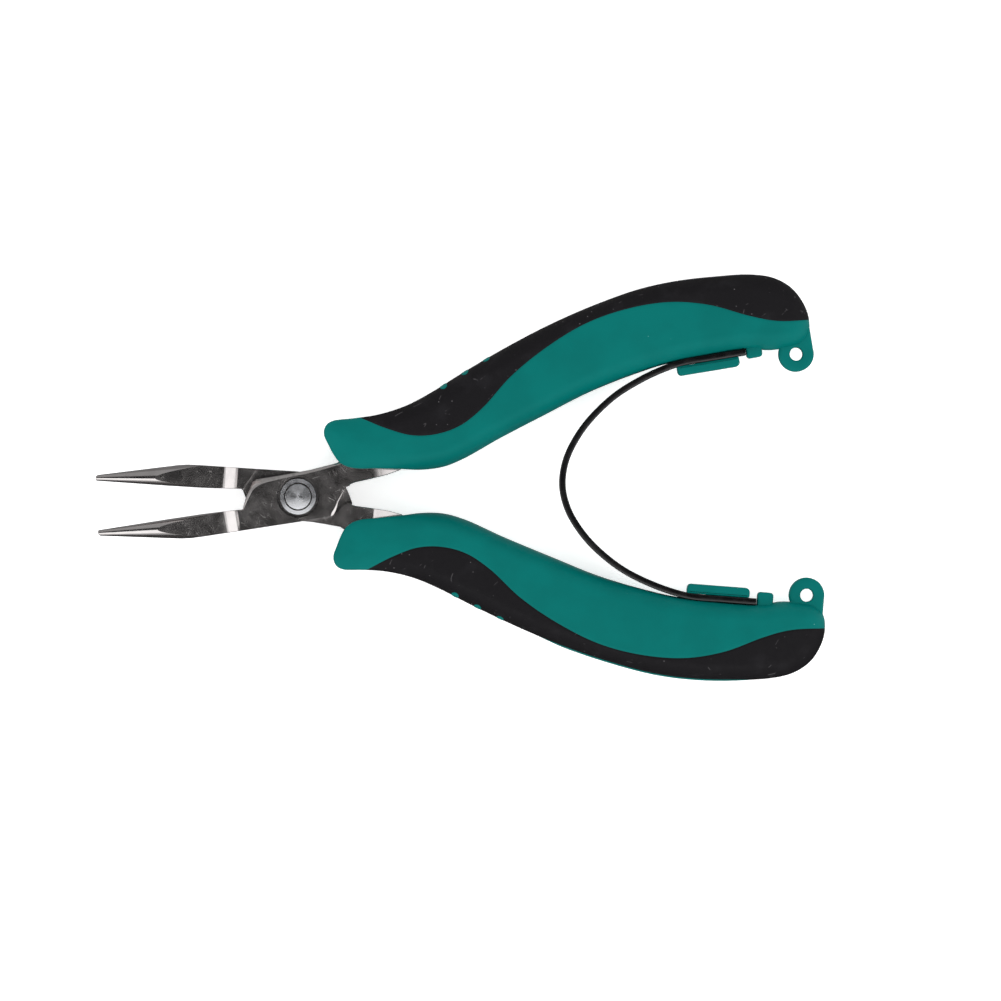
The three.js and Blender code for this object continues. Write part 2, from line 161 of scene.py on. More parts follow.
OUTLINE = smooth_line(INNER_EDGE + OUTER_EDGE + FRONT, closed=True, per=20)
LEFT, RIGHT = int(OUTLINE[:, 0].argmin()), int(OUTLINE[:, 0].argmax())


def edge_over_x(start, stop):
    """The outline from one end to the other, as a height over X."""
    count = (stop - start) % len(OUTLINE)
    part = np.roll(OUTLINE, -start, axis=0)[: count + 1]
    if part[0, 0] > part[-1, 0]:
        part = part[::-1]
    keep = np.concatenate(([True], np.diff(np.maximum.accumulate(part[:, 0])) > 1e-9))
    return part[keep]


INNER, OUTER = edge_over_x(LEFT, RIGHT), edge_over_x(RIGHT, LEFT)
SEAM_LINE = smooth_line(SEAM, per=20)


def inner_y(x):
    return np.interp(x, INNER[:, 0], INNER[:, 1])


def outer_y(x):
    return np.interp(x, OUTER[:, 0], OUTER[:, 1])


def seam_y(x):
    return np.interp(x, SEAM_LINE[:, 0], SEAM_LINE[:, 1])


def edge_distance(x, y):
    """Distance of points from the handle outline."""
    q = np.stack([x, y], 1)[:, None, :]
    a = OUTLINE[None]
    ab = np.roll(OUTLINE, -1, axis=0)[None] - a
    t = np.clip(((q - a) * ab).sum(2) / np.maximum((ab * ab).sum(2), 1e-12), 0, 1)
    return np.sqrt((((q - a) - t[..., None] * ab) ** 2).sum(2).min(1))


def ease(x, a, b):
    """From 0 before a to 1 past b."""
    t = np.clip((np.asarray(x, float) - a) / (b - a), 0, 1)
    return t * t * (3 - 2 * t)


def swell(x):
    """How thick the handle is along its length, as a share of the whole."""
    rear = ease(100 - np.asarray(x, float), 0, 16)
    return (0.8 + 0.2 * ease(x, 4, 22)) * (0.62 + 0.38 * rear)


def handle_height(x, y):
    """Half thickness of the handle over the plan point."""
    d = edge_distance(x, y)
    side = 1 - np.clip(d / ROUND_PLAN, 0, 1)
    crown = CROWN * (1 - np.clip(d / CROWN_REACH, 0, 1)) ** 2
    drop = (HALF - WALL - (FRONT_WALL - WALL) * (1 - ease(x, 16, 26))) * (1 - np.sqrt(1 - side**2))
    return (HALF - drop - crown) * swell(x)


# ---- mesh helpers --------------------------------------------------------------------
def add_object(name, data):
    obj = bpy.data.objects.new(name, data)
    bpy.context.scene.collection.objects.link(obj)
    return obj


def mesh_object(name, bm, material, matrix, angle=50):
    """A finished object from a mesh in millimetres. Edges past the angle stay sharp."""
    bmesh.ops.remove_doubles(bm, verts=bm.verts, dist=2e-3)
    bmesh.ops.dissolve_degenerate(bm, edges=bm.edges, dist=1e-3)
    bmesh.ops.transform(bm, matrix=matrix, verts=bm.verts)
    bmesh.ops.recalc_face_normals(bm, faces=bm.faces)
    mesh = bpy.data.meshes.new(name)
    bm.to_mesh(mesh)
    bm.free()
    mesh.materials.append(material)
    mesh.shade_smooth()
    mesh.set_sharp_from_angle(angle=math.radians(angle))
    return add_object(name, mesh)


def loft(rings, along=False, caps=False):
    """A grid of quads over equal rings of points, closed along the row as well if asked."""
    bm = bmesh.new()
    rows = [[bm.verts.new(p) for p in ring] for ring in rings]
    n, m = len(rows[0]), len(rows)
    for r in range(m if along else m - 1):
        here, there = rows[r], rows[(r + 1) % m]
        for i in range(n):
            k = (i + 1) % n
            bm.faces.new((here[i], here[k], there[k], there[i]))
    if caps:
        bm.faces.new(rows[0])
        bm.faces.new(rows[-1])
    return bm


def cosine(a, b, n):
    """n values from a to b, closer together near both."""
    return a + (b - a) * (1 - np.cos(np.linspace(0, math.pi, n))) / 2


def mitres(polygon):
    """At each corner of a closed outline, the way inwards that keeps both edges equally far."""
    e1 = polygon - np.roll(polygon, 1, axis=0)
    e2 = np.roll(polygon, -1, axis=0) - polygon
    e1 /= np.linalg.norm(e1, axis=1)[:, None]
    e2 /= np.linalg.norm(e2, axis=1)[:, None]
    n1, n2 = np.stack([-e1[:, 1], e1[:, 0]], 1), np.stack([-e2[:, 1], e2[:, 0]], 1)
    return (n1 + n2) / np.maximum(1 + (n1 * n2).sum(1), 0.35)[:, None]


# ---- materials -----------------------------------------------------------------------
class Graph:
    """Short calls for the nodes of one node tree."""

    def __init__(self, tree):
        self.tree = tree

    def node(self, kind, **values):
        made = self.tree.nodes.new(kind)
        for key, value in values.items():
            setattr(made, key, value)
        return made

    def link(self, source, target):
        self.tree.links.new(source, target)

    def ramp(self, source, low, high, out_low=0.0, out_high=1.0):
        made = self.node("ShaderNodeMapRange", clamp=True, interpolation_type="SMOOTHSTEP")
        limits = {"From Min": low, "From Max": high, "To Min": out_low, "To Max": out_high}
        for key, value in limits.items():
            made.inputs[key].default_value = value
        self.link(source, made.inputs["Value"])
        return made.outputs["Result"]

    def math(self, operation, a, b=0.0):
        made = self.node("ShaderNodeMath", operation=operation)
        for socket, value in zip(made.inputs, (a, b)):
            if isinstance(value, (int, float)):
                socket.default_value = value
            else:
                self.link(value, socket)
        return made.outputs["Value"]


class Shader(Graph):
    """A Principled material. Texture space is in millimetres."""

    def __init__(self, name, color, metallic, roughness, **constants):
        self.material = bpy.data.materials.new(name)
        self.material.use_nodes = True
        super().__init__(self.material.node_tree)
        self.bsdf = next(n for n in self.tree.nodes if n.type == "BSDF_PRINCIPLED")
        self.bsdf.inputs["Base Color"].default_value = (*color, 1)
        self.bsdf.inputs["Metallic"].default_value = metallic
        self.bsdf.inputs["Roughness"].default_value = roughness
        for key, value in constants.items():
            self.bsdf.inputs[key.replace("_", " ")].default_value = value
        self.coords = self.node("ShaderNodeTexCoord").outputs["Object"]
        self.normal = None

    def space(self, scale=(1, 1, 1), turn=0.0):
        """Millimetre coordinates, stretched and turned about Z."""
        mapping = self.node("ShaderNodeMapping")
        mapping.inputs["Scale"].default_value = [s / MM for s in scale]
        source = self.coords
        if turn:
            spin = self.node("ShaderNodeVectorRotate", rotation_type="Z_AXIS")
            spin.inputs["Angle"].default_value = turn
            self.link(source, spin.inputs["Vector"])
            source = spin.outputs["Vector"]
        self.link(source, mapping.inputs["Vector"])
        return mapping.outputs["Vector"]

    def noise(self, scale, stretch=(1, 1, 1), turn=0.0, detail=3.0, rough=0.55):
        made = self.node("ShaderNodeTexNoise")
        made.inputs["Scale"].default_value = scale
        made.inputs["Detail"].default_value = detail
        made.inputs["Roughness"].default_value = rough
        self.link(self.space(stretch, turn), made.inputs["Vector"])
        return made.outputs["Fac"]

    def voronoi(self, scale, feature, stretch=(1, 1, 1), turn=0.0):
        made = self.node("ShaderNodeTexVoronoi", feature=feature)
        made.inputs["Scale"].default_value = scale
        self.link(self.space(stretch, turn), made.inputs["Vector"])
        return made.outputs["Distance"]

    def dots(self, scale, size, patches):
        """Soft round dots, only inside the patches."""
        spots = self.ramp(self.voronoi(scale, "F1"), *size, 1.0, 0.0)
        return self.math("MULTIPLY", spots, patches)

    def hairlines(self, scale, width, stretch, turn, patches):
        """Thin lines along the borders of long cells, only inside the patches."""
        border = self.voronoi(scale, "DISTANCE_TO_EDGE", stretch, turn)
        return self.math("MULTIPLY", self.ramp(border, 0.0, width, 1.0, 0.0), patches)

    def mix_color(self, factor, a, b):
        made = self.node("ShaderNodeMix", data_type="RGBA")
        self.link(factor, made.inputs["Factor"])
        for socket, value in ((made.inputs[6], a), (made.inputs[7], b)):
            if isinstance(value, tuple):
                socket.default_value = (*value, 1)
            else:
                self.link(value, socket)
        return made.outputs[2]

    def bump(self, height, strength, distance_mm):
        made = self.node("ShaderNodeBump")
        made.inputs["Strength"].default_value = strength
        made.inputs["Distance"].default_value = distance_mm * MM
        self.link(height, made.inputs["Height"])
        if self.normal is not None:
            self.link(self.normal, made.inputs["Normal"])
        self.normal = made.outputs["Normal"]
        self.link(self.normal, self.bsdf.inputs["Normal"])

    def set(self, name, source):
        self.link(source, self.bsdf.inputs[name])


def teal_plastic():
    """Satin moulded plastic: a faint mottle, fine grain, rare dust specks and hairline scuffs."""
    s = Shader("teal_plastic", (0.0, 0.12, 0.108), 0.0, 0.4, Specular_IOR_Level=0.05)
    mottle = s.ramp(s.noise(0.12, detail=4), 0.35, 0.65)
    color = s.mix_color(mottle, (0.0, 0.117, 0.106), (0.0, 0.129, 0.117))
    dust = s.dots(0.42, (0.012, 0.05), s.ramp(s.noise(0.09), 0.5, 0.62))
    s.set("Base Color", s.mix_color(dust, color, (0.12, 0.36, 0.33)))
    scuff = s.noise(0.5, (0.25, 3.0, 1.0), 0.5)
    s.set("Roughness", s.ramp(scuff, 0.3, 0.75, 0.36, 0.5))
    s.bump(s.noise(5.0, detail=2), 0.25, 0.012)
    s.bump(s.noise(0.35), 0.2, 0.03)
    return s.material


def soft_rubber():
    """Matt soft-touch rubber: close grain, paler scuffs and dust caught on the surface."""
    s = Shader("soft_rubber", (0.008, 0.0075, 0.009), 0.0, 0.6, Specular_IOR_Level=0.09)
    wear = s.ramp(s.noise(0.22, detail=5), 0.5, 0.75)
    color = s.mix_color(wear, (0.0068, 0.0062, 0.0074), (0.0105, 0.0098, 0.0115))
    dust = s.dots(0.62, (0.03, 0.09), s.ramp(s.noise(0.13), 0.47, 0.58))
    patches = s.ramp(s.noise(0.4, detail=2), 0.6, 0.66)
    scuffs = s.hairlines(0.35, 0.02, (1.0, 0.35, 1.0), 0.9, patches)
    marks = s.math("MAXIMUM", dust, s.math("MULTIPLY", scuffs, 0.5))
    s.set("Base Color", s.mix_color(marks, color, (0.11, 0.105, 0.11)))
    s.set("Roughness", s.ramp(s.noise(0.8), 0.3, 0.7, 0.55, 0.7))
    s.bump(s.noise(4.0, detail=3), 0.5, 0.02)
    return s.material


def scratched_steel():
    """Ground steel: fine long grain, a faintly cloudy sheen, crossing hairline scratches, pits."""
    color, roughness = (0.54, 0.515, 0.51), 0.16
    s = Shader("lever_steel", color, 1.0, roughness)
    grain = s.noise(1.0, (0.8, 20.0, 20.0), detail=3, rough=0.6)
    cloud = s.ramp(s.noise(0.3, detail=4), 0.3, 0.7, -0.025, 0.035)
    rough = s.math("ADD", s.ramp(grain, 0.3, 0.7, roughness - 0.015, roughness + 0.02), cloud)
    scratches = None
    for size, angle, limit in (
        (0.5, 0.75, 0.6), (0.55, -0.6, 0.6), (0.45, 1.75, 0.61), (0.7, 0.2, 0.58), (0.6, 2.5, 0.62),
    ):
        patches = s.ramp(s.noise(0.45, turn=angle, detail=2), limit, limit + 0.05)
        lines = s.hairlines(size, 0.009, (1.0, 0.13, 1.0), angle, patches)
        scratches = lines if scratches is None else s.math("MAXIMUM", scratches, lines)
    pits = s.dots(1.1, (0.03, 0.09), s.ramp(s.noise(0.5, turn=1.1, detail=2), 0.52, 0.6))
    scratches = s.math("MAXIMUM", scratches, s.math("MULTIPLY", pits, 0.8))
    s.set("Roughness", s.math("ADD", rough, s.math("MULTIPLY", scratches, 0.1)))
    stain = s.ramp(s.noise(0.4, detail=5), 0.35, 0.7)
    s.set("Base Color", s.mix_color(stain, color, tuple(c * 0.9 for c in color)))
    s.bump(grain, 0.05, 0.006)
    s.bump(s.math("SUBTRACT", 1.0, scratches), 0.19, 0.012)
    return s.material


def turned_steel():
    """Bright face-turned steel with fine rings about the pivot, and painted shade in the groove
    round the head and at the ring's outer edge.
    """
    bright, dark = (0.76, 0.77, 0.8), (0.04, 0.04, 0.045)
    s = Shader("turned_steel", bright, 1.0, 0.24, Anisotropic=0.8, Anisotropic_Rotation=0.25)
    tangent = s.node("ShaderNodeTangent", direction_type="RADIAL", axis="Z")
    s.link(tangent.outputs["Tangent"], s.bsdf.inputs["Tangent"])
    offset = s.node("ShaderNodeVectorMath", operation="SUBTRACT")
    offset.inputs[1].default_value = PIVOT
    s.link(s.coords, offset.inputs[0])
    s.coords = offset.outputs["Vector"]
    across = s.node("ShaderNodeVectorMath", operation="MULTIPLY")
    across.inputs[1].default_value = (1, 1, 0)
    s.link(s.coords, across.inputs[0])
    length = s.node("ShaderNodeVectorMath", operation="LENGTH")
    s.link(across.outputs["Vector"], length.inputs[0])
    radius = length.outputs["Value"]
    # Painted shade: the colour turns dark in the groove round the rivet head and along the ring's
    # outer edge, where the parts meet.
    past_head = s.ramp(radius, (HEAD_R - 0.06) * MM, (HEAD_R + 0.01) * MM)
    before_ring = s.ramp(radius, (RING_INNER - 0.01) * MM, (RING_INNER + 0.05) * MM, 1.0, 0.0)
    rim = s.ramp(radius, (RING_OUTER - 0.08) * MM, (RING_OUTER - 0.01) * MM)
    painted_shade = s.math("MAXIMUM", s.math("MULTIPLY", past_head, before_ring), rim)
    s.set("Base Color", s.mix_color(painted_shade, bright, dark))
    rings = s.node("ShaderNodeTexWave", wave_type="RINGS", rings_direction="Z", wave_profile="SIN")
    rings.inputs["Scale"].default_value = 4.5
    rings.inputs["Distortion"].default_value = 0.2
    s.link(s.space(), rings.inputs["Vector"])
    s.bump(rings.outputs["Fac"], 0.15, 0.004)
    s.set("Roughness", s.ramp(s.noise(0.9, detail=4), 0.3, 0.7, 0.21, 0.27))
    return s.material


def spring_black():
    """Blackened spring strip: glossy, with painted sheen in lighter streaks along it."""
    s = Shader("spring_black", (0.004, 0.004, 0.0045), 0.0, 0.2, Specular_IOR_Level=0.5)
    # Painted sheen: the base colour turns lighter in streaks along the strip.
    painted_sheen = s.ramp(s.noise(0.5, (1.0, 1.0, 6.0), detail=4), 0.45, 0.75)
    s.set("Base Color", s.mix_color(painted_sheen, (0.003, 0.003, 0.0035), (0.009, 0.0085, 0.009)))
    s.set("Roughness", s.ramp(s.noise(0.4, (1, 1, 5)), 0.3, 0.7, 0.14, 0.24))
    s.bump(s.noise(3.0, detail=2), 0.06, 0.006)
    return s.material


TEAL = teal_plastic()
RUBBER = soft_rubber()
STEEL = scratched_steel()
TURNED = turned_steel()
SPRING = spring_black()


# ---- handles -------------------------------------------------------------------------
def seam_start():
    """Where the seam leaves the outer edge."""
    x = np.linspace(9, 20, 2000)
    return float(x[np.argmax(seam_y(x) < outer_y(x))])


X0, X1, X_SEAM = float(OUTLINE[LEFT, 0]), float(OUTLINE[RIGHT, 0]), seam_start()
STATIONS = np.concatenate([cosine(X0, X_SEAM, 44)[:-1], cosine(X_SEAM, X1, 190)])
NEAR_SEAM = np.array([0.45, 0.3, 0.18, 0.08, 0.0])


def spread(a, b, lo, hi, n):
    """n values from a to b, closer together near the handle's rounded edges."""
    width = max(hi - lo, 1e-9)
    t = [math.acos(np.clip(1 - 2 * (v - lo) / width, -1, 1)) for v in (a, b)]
    return lo + width * (1 - np.cos(np.linspace(t[0], t[1], n))) / 2


def groove(distance, strength):
    """The fine groove along the seam between core and grip."""
    return GROOVE_DEPTH * strength * np.exp(-((distance / GROOVE_W) ** 2))


def section(x, part):
    """Half of a cross-section, from the first edge over the top: (y, z) pairs."""
    lo, hi = float(inner_y(x)), float(outer_y(x))
    hi = max(hi, lo + 1e-6)
    seam = hi if x < X_SEAM else float(np.clip(seam_y(x), lo, hi))
    share = float(np.clip((hi - seam) / SEAM_FADE, 0, 1))
    depth = GRIP_DEPTH * share
    strength = np.clip((hi - seam) / GROOVE_FADE, 0, 1) * np.clip((seam - lo) / GROOVE_FADE, 0, 1)
    # The bed is the hidden face of the core that the grip lies on.
    bed_y = np.linspace(seam, max(seam, hi - 1.3 * depth), BED_POINTS)
    skin_z = handle_height(np.full(BED_POINTS, x), bed_y)
    bed_z = np.minimum(np.maximum(skin_z - depth * 1.1, 0.25 * share), skin_z)
    if part == "core":
        k = float(np.clip((seam - lo) / SEAM_FADE, 0.001, 1))
        y = spread(lo, seam - 0.6 * k, lo, hi, EDGE_POINTS)
        y = np.concatenate([y, seam - NEAR_SEAM * k])
        z = handle_height(np.full(len(y), x), y) - groove(seam - y, strength)
        return np.concatenate([y, bed_y]), np.concatenate([z, bed_z])
    k = float(np.clip((hi - seam) / SEAM_FADE, 0.001, 1))
    y = spread(seam + 0.6 * k, hi, lo, hi, EDGE_POINTS)
    y = np.concatenate([seam + NEAR_SEAM[::-1] * k, y])
    z = handle_height(np.full(len(y), x), y) - groove(y - seam, strength)
    return np.concatenate([bed_y[::-1], y]), np.concatenate([bed_z[::-1] + 0.03 * share, z])


def handle_piece(name, part, lower, material, node, body):
    """The core or the grip: cross-sections from the front end to the tail."""
    push = -FRONT_PUSH if lower else FRONT_PUSH
    tail = TAIL_LOWER if lower else TAIL_UPPER
    xs = STATIONS if part == "core" else STATIONS[STATIONS >= X_SEAM - 1e-6]
    rings = []
    for x in xs:
        y, z = section(x, part)
        # Both ends are moved along the handle, more and more towards the end itself.
        at = x - push * (1 - float(ease(x, 7, 15))) + tail * float(ease(x, 88, 97))
        top = [(at, a, b) for a, b in zip(y, z)]
        under = [(at, a, -b) for a, b in zip(y[::-1], z[::-1])]
        rings.append(top + under)
    obj = mesh_object(name, loft(rings), material, arm_matrix(lower))
    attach(obj, body)
    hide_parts(node)


def teal_piece(name, bm, lower, body):
    """A small piece of the handle core, drawn in the lever's own frame."""
    obj = mesh_object(name, bm, TEAL, arm_matrix(lower))
    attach(obj, body)


def side_inset(z):
    """How far the rounded side lies inside the outline at a height."""
    lift = np.clip((abs(z) - WALL) / (HALF - WALL), 0, 1)
    return ROUND_PLAN * (1 - math.sqrt(1 - lift**2))


def outer_edge_at(x):
    """A point of the outer edge, the direction along it there, and the one straight out."""
    slope = float(outer_y(x + 0.5) - outer_y(x - 0.5))
    t = np.array([1.0, slope]) / math.hypot(1, slope)
    return np.array([x, float(outer_y(x))]), t, np.array([-t[1], t[0]])


def lug(name, x, reach, lower, body):
    """A small rib of the core that stands through the grip round its outer edge."""
    at, t, out = outer_edge_at(x)
    rings = []
    for s in np.linspace(-1, 1, 31):
        z = reach * math.sin(s * math.pi / 2)
        end = max(abs(z) - (reach - 1.0), 0)
        half = max(LUG_HALF_W * math.sqrt(max(1 - end**2, 0)), 1e-3)
        ring = []
        for a in np.linspace(0, math.pi, 13):
            crown = 0.1 * (math.sin(a) ** 0.6) * half / LUG_HALF_W
            p = at + t * half * math.cos(a) + out * (crown - side_inset(z) - 0.03)
            ring.append((*p, z))
        for a in (-1, 1):
            p = at + t * half * a - out * (side_inset(z) + 0.6)
            ring.append((*p, z))
        rings.append(ring)
    teal_piece(name, loft(rings, caps=True), lower, body)


def edge_strip(name, lower, body):
    """The thin line of the core that shows past the grip, low on the outer edge."""
    start, full, fade, stop = 43.0, 52, 80, 89.5
    middle, half, stands_out = 1.6, 1.0, 0.32
    rings = []
    for x in np.linspace(start, stop, 90):
        at, _, out = outer_edge_at(x)
        proud = stands_out * float(ease(x, start, full)) * float(1 - ease(x, fade, stop)) + 0.001
        ring = []
        for a in np.linspace(0, math.pi, 7):
            p = at + out * (proud * math.sin(a) - 0.02)
            ring.append((*p, middle - half * math.cos(a)))
        for z in (middle + half, middle - half):
            ring.append((*(at - out * 0.5), z))
        rings.append(ring)
    teal_piece(name, loft(rings, caps=True), lower, body)


def lanyard_loop(name, lower, body):
    """The flat ring at the handle end, with its stem, rounded on every edge."""
    r, hole, half = LOOP["r"], LOOP["hole"], LOOP["half"]
    fillet, hole_fillet = 0.7, 0.35
    reach = LOOP["top"] - LOOP["y"]
    rings = []
    for a in np.linspace(0, 2 * math.pi, 96, endpoint=False):
        c, s = math.cos(a), math.sin(a)
        out = r
        if s > 0:
            sides = [reach / s if s > 1e-6 else 99]
            if abs(c) > 1e-6:
                sides.append((LOOP["rear" if c > 0 else "front"] - LOOP["x"]) / c)
            out = max(r, min(sides)) if c > 0 or s > 0.45 else r
            out = min(out, reach * 1.3)
        half_profile = [
            (out - fillet * (1 - math.cos(u)), half - fillet * (1 - math.sin(u)))
            for u in np.linspace(0, math.pi / 2, 7)
        ]
        half_profile += [
            (hole + hole_fillet * (1 - math.cos(u)), half - hole_fillet * (1 - math.sin(u)))
            for u in np.linspace(math.pi / 2, 0, 5)
        ]
        profile = half_profile + [(rr, -zz) for rr, zz in half_profile[::-1]]
        rings.append([(LOOP["x"] + rr * c, LOOP["y"] + rr * s, zz) for rr, zz in profile])
    teal_piece(name, loft(rings, along=True), lower, body)


def rounded_plate(name, outline, half, fillet, lower, body):
    """A flat plate with rounded edges, from a convex outline in the XY plane."""
    p = np.array(outline, float)
    inward = mitres(p)
    rings = []
    for u in np.linspace(-math.pi / 2, math.pi / 2, 11):
        z = math.sin(u) * fillet + (half - fillet) * (1 if u > 0 else -1)
        q = p + inward * fillet * (1 - math.cos(u))
        rings.append([(*xy, z) for xy in q])
    teal_piece(name, loft(rings, caps=True), lower, body)


def rounded_outline(x0, x1, y0, y1, r_low, r_high=0.3):
    """A rectangle with rounded corners, walked anticlockwise."""
    points = []
    for cx, cy, r, start in (
        (x1 - r_low, y0 + r_low, r_low, -90), (x1 - r_high, y1 - r_high, r_high, 0),
        (x0 + r_high, y1 - r_high, r_high, 90), (x0 + r_low, y0 + r_low, r_low, 180),
    ):
        for a in np.radians(np.linspace(start, start + 90, 7)):
            points.append((cx + r * math.cos(a), cy + r * math.sin(a)))
    return points


def handle(tag, lower, body):
    """Everything of one handle: core, grip, lugs, lanyard loop and what holds the spring."""
    handle_piece(f"handle_core_{tag}_shell", "core", lower, TEAL, f"handle_core_{tag}", body)
    handle_piece(f"soft_grip_{tag}_skin", "grip", lower, RUBBER, f"soft_grip_{tag}", body)
    for i, (x, reach) in enumerate(zip(LUGS_X, LUG_REACH)):
        lug(f"grip_lug_{tag}_{i + 1}", x + (LUG_SHIFT_LOWER if lower else 0.0), reach, lower, body)
    if lower:
        edge_strip(f"edge_strip_{tag}", lower, body)
    lanyard_loop(f"lanyard_loop_{tag}", lower, body)
    bar = rounded_outline(72.4, 83.9, 10.4, 12.17, 0.75)
    neck = rounded_outline(75.9, 80.1, 11.6, 15.0, 0.3)
    stop_end = STOP_END_LOWER if lower else STOP_END_UPPER
    stop = rounded_outline(85.4, 88.3, stop_end, 15.0, 0.6)
    rounded_plate(f"hook_bar_{tag}", bar, 3.0, 0.4, lower, body)
    rounded_plate(f"hook_neck_{tag}", neck, 1.1, 0.2, lower, body)
    rounded_plate(f"spring_stop_{tag}", stop, 2.6, 0.4, lower, body)


handle("upper", False, UPPER)
handle("lower", True, LOWER)


# ---- steel levers --------------------------------------------------------------------
# Half thicknesses, and half of the air between the two plates.
BLOCK_HALF, LAP_GAP, JAW_HALF, TANG_HALF = 3.8, 0.15, 2.0, 1.5
# Where the faces change along the lever, from the tip of the jaw to inside the handle.
TIP_X, FLAT_END_X, STEP_X, TANG_STEP_X, TANG_END_X = -37.4, -15.1, -11.35, 13.9, 20.5
# The hole for the rivet's shank, and the shallow bore that its head and ring sit in.
HOLE_R, BORE_R, BORE_Z = 2.1, 3.76, 2.4
BREAK = 0.07  # width of the broken edge round every face
TIP_RISE, NOSE_SLOPE = 0.6, 0.128        # height of the nose at its tip, and how fast it grows
TIP_HALF_W, NOSE_WIDENING = 0.56, 0.098  # the same for half its width
RIDGE_Y, RIDGE_SLOPE = -0.575, 0.105     # where its ridge starts, and how fast that moves out
RAMP_POWER = {"tang_ramp": 1.0, "soft_tang_ramp": 1.2}  # 1 is a straight ramp down to the tang


def arc(r, start, stop, n):
    return [(r * math.cos(a), r * math.sin(a)) for a in np.radians(np.linspace(start, stop, n))]


PLAIN_REAR = arc(7.43, -36, -18, 6) + [(8.02, -0.95), (8.97, 0.3), (9.5, 0.4)]
HEEL_REAR = arc(7.25, -36, -30, 3) + [(8.35, -2.55), (8.75, -1.95), (9.2, -1.1), (9.85, 0.3)]
RECESS_FRONT = [
    (-7.95, -5.6), (-7.95, -4.6), (-8.87, -3.0), (-9.7, -1.7), (-10.95, 0.7), (-10.95, 5.8),
]
RECESS_PLAIN = arc(7.62, 50, 20, 9) + [(8.15, 1.2), (9.0, 0.5), (10.4, 0.6), (10.4, -5.6)]
RECESS_HEEL = arc(7.62, 50, 33, 5) + [
    (8.5, 3.1), (9.15, 2.15), (9.55, 1.3), (10.2, 0.2), (10.2, -5.6),
]
JAW_INNER = [(TIP_X, -0.15), (TIP_X + 0.25, -0.05), (-24, -0.15), (-18, -0.25), (-13.5, -0.45)]
PLATE_FRONT = [(-10.45, -0.62), (-9.41, 1.56), (-8.58, 2.84), (-7.95, 4.0), (-7.2, 4.38)]
PLATE_TOP = [(-2.6, 4.36), (2.9, 4.48), (8.04, 4.93)]
TANG_OUTER = [
    (10.5, 6.2), (14, 7.4), (20, 7.9), (25, 8.3), (30, 9.8), (36, 12.3), (45, 15.9), (57, 19.3),
    (68, 21.3), (75.5, 21.9),
]
TANG_INNER = [
    (76.3, 20.8), (75.6, 19.4), (68, 18.5), (57, 16.1), (45, 12.4), (36, 8.8), (30, 6.0), (25, 4.1),
    (21.5, 2.75), (19, 1.75), (16.6, 1.31), (13, 1.02), (10.6, 0.89), (9.84, 0.72),
]
JAW_OUTER = [
    (5.5, -4.55), (-1, -4.6), (-9, -4.5), (-18, -4.4), (-20.6, -4.33), (-22.5, -4.1),
    (TIP_X + 0.3, -1.16), (TIP_X, -0.95),
]
# The bevel of the lap plate: a point on its upper limit, and how steeply it falls outwards.
BEVEL = smooth_line([
    (-10.3, -0.75, 0.7), (-8.75, 1.55, 0.9), (-7.8, 2.65, 0.9), (-6.2, 3.35, 0.95),
    (-2.6, 3.72, 1.0), (2.9, 3.95, 1.0), (9.5, 4.75, 0.95), (13.0, 5.7, 0.4),
], per=6)


def rear_bevel(rear):
    """The upper limit of the bevel down a plate's rear edge, from its top end to past its foot."""
    p = np.array(rear[:-1], float)
    along = np.gradient(p, axis=0)
    along /= np.linalg.norm(along, axis=1)[:, None]
    inward = np.stack([-along[:, 1], along[:, 0]], 1)
    limit = (p + inward * np.linspace(0.62, 0.05, len(p))[:, None])[::-1]
    foot = limit[-1] + np.array([-0.25, -0.8])
    return np.array([(*q, 0.55) for q in [*limit, foot]])


LEAN = {"nose": 0.0, "leaning_nose": 0.035}  # how fast the ridge of the nose leans inwards
NOSE = {"plain_rear": "nose", "heel_rear": "leaning_nose"}


def segment_distance(points, line):
    """Nearest distance of each point to an open polyline, with where along it that is."""
    q = points[:, None, :]
    a, ab = line[None, :-1], (line[1:] - line[:-1])[None]
    t = np.clip(((q - a) * ab).sum(2) / np.maximum((ab * ab).sum(2), 1e-12), 0, 1)
    gap = (q - a) - t[..., None] * ab
    d = np.sqrt((gap**2).sum(2))
    k = d.argmin(1)
    rows = np.arange(len(points))
    side = ab[0, k, 0] * gap[rows, k, 1] - ab[0, k, 1] * gap[rows, k, 0]
    return d[rows, k], k + t[rows, k], side


BEVELS = {"bevel": BEVEL, "plain_rear": rear_bevel(PLAIN_REAR), "heel_rear": rear_bevel(HEEL_REAR)}


def inside(points, polygon):
    """Even-odd test of points against a closed polygon."""
    x, y = points[:, 0][:, None], points[:, 1][:, None]
    ax, ay = polygon[:, 0][None], polygon[:, 1][None]
    bx, by = np.roll(polygon[:, 0], -1)[None], np.roll(polygon[:, 1], -1)[None]
    cross = (ay > y) != (by > y)
    hit = x < (bx - ax) * (y - ay) / np.where(by == ay, 1e-12, by - ay) + ax
    return (cross & hit).sum(1) % 2 == 1


def cone_line(x, t, lean):
    """Across the nose: its outer foot at t = -1, the ridge at 0, its inner foot at 1."""
    run = x - TIP_X
    width = TIP_HALF_W + (NOSE_WIDENING - lean * np.sign(t)) * run
    return RIDGE_Y - (RIDGE_SLOPE - lean) * run + width * t


def cone_rise(x):
    """Height of the nose's ridge."""
    return TIP_RISE + NOSE_SLOPE * (x - TIP_X)


def cone_reaches(height):
    """Where along the nose its ridge is this high."""
    return TIP_X + (height - TIP_RISE) / NOSE_SLOPE


def ramp_height(distance, run, low):
    """The hollow ramp from a flat up to the joint block: an arc that starts level."""
    rise = BLOCK_HALF - low
    r = (run * run + rise * rise) / (2 * rise)
    return low + r - np.sqrt(r * r - np.clip(distance, 0, run) ** 2)


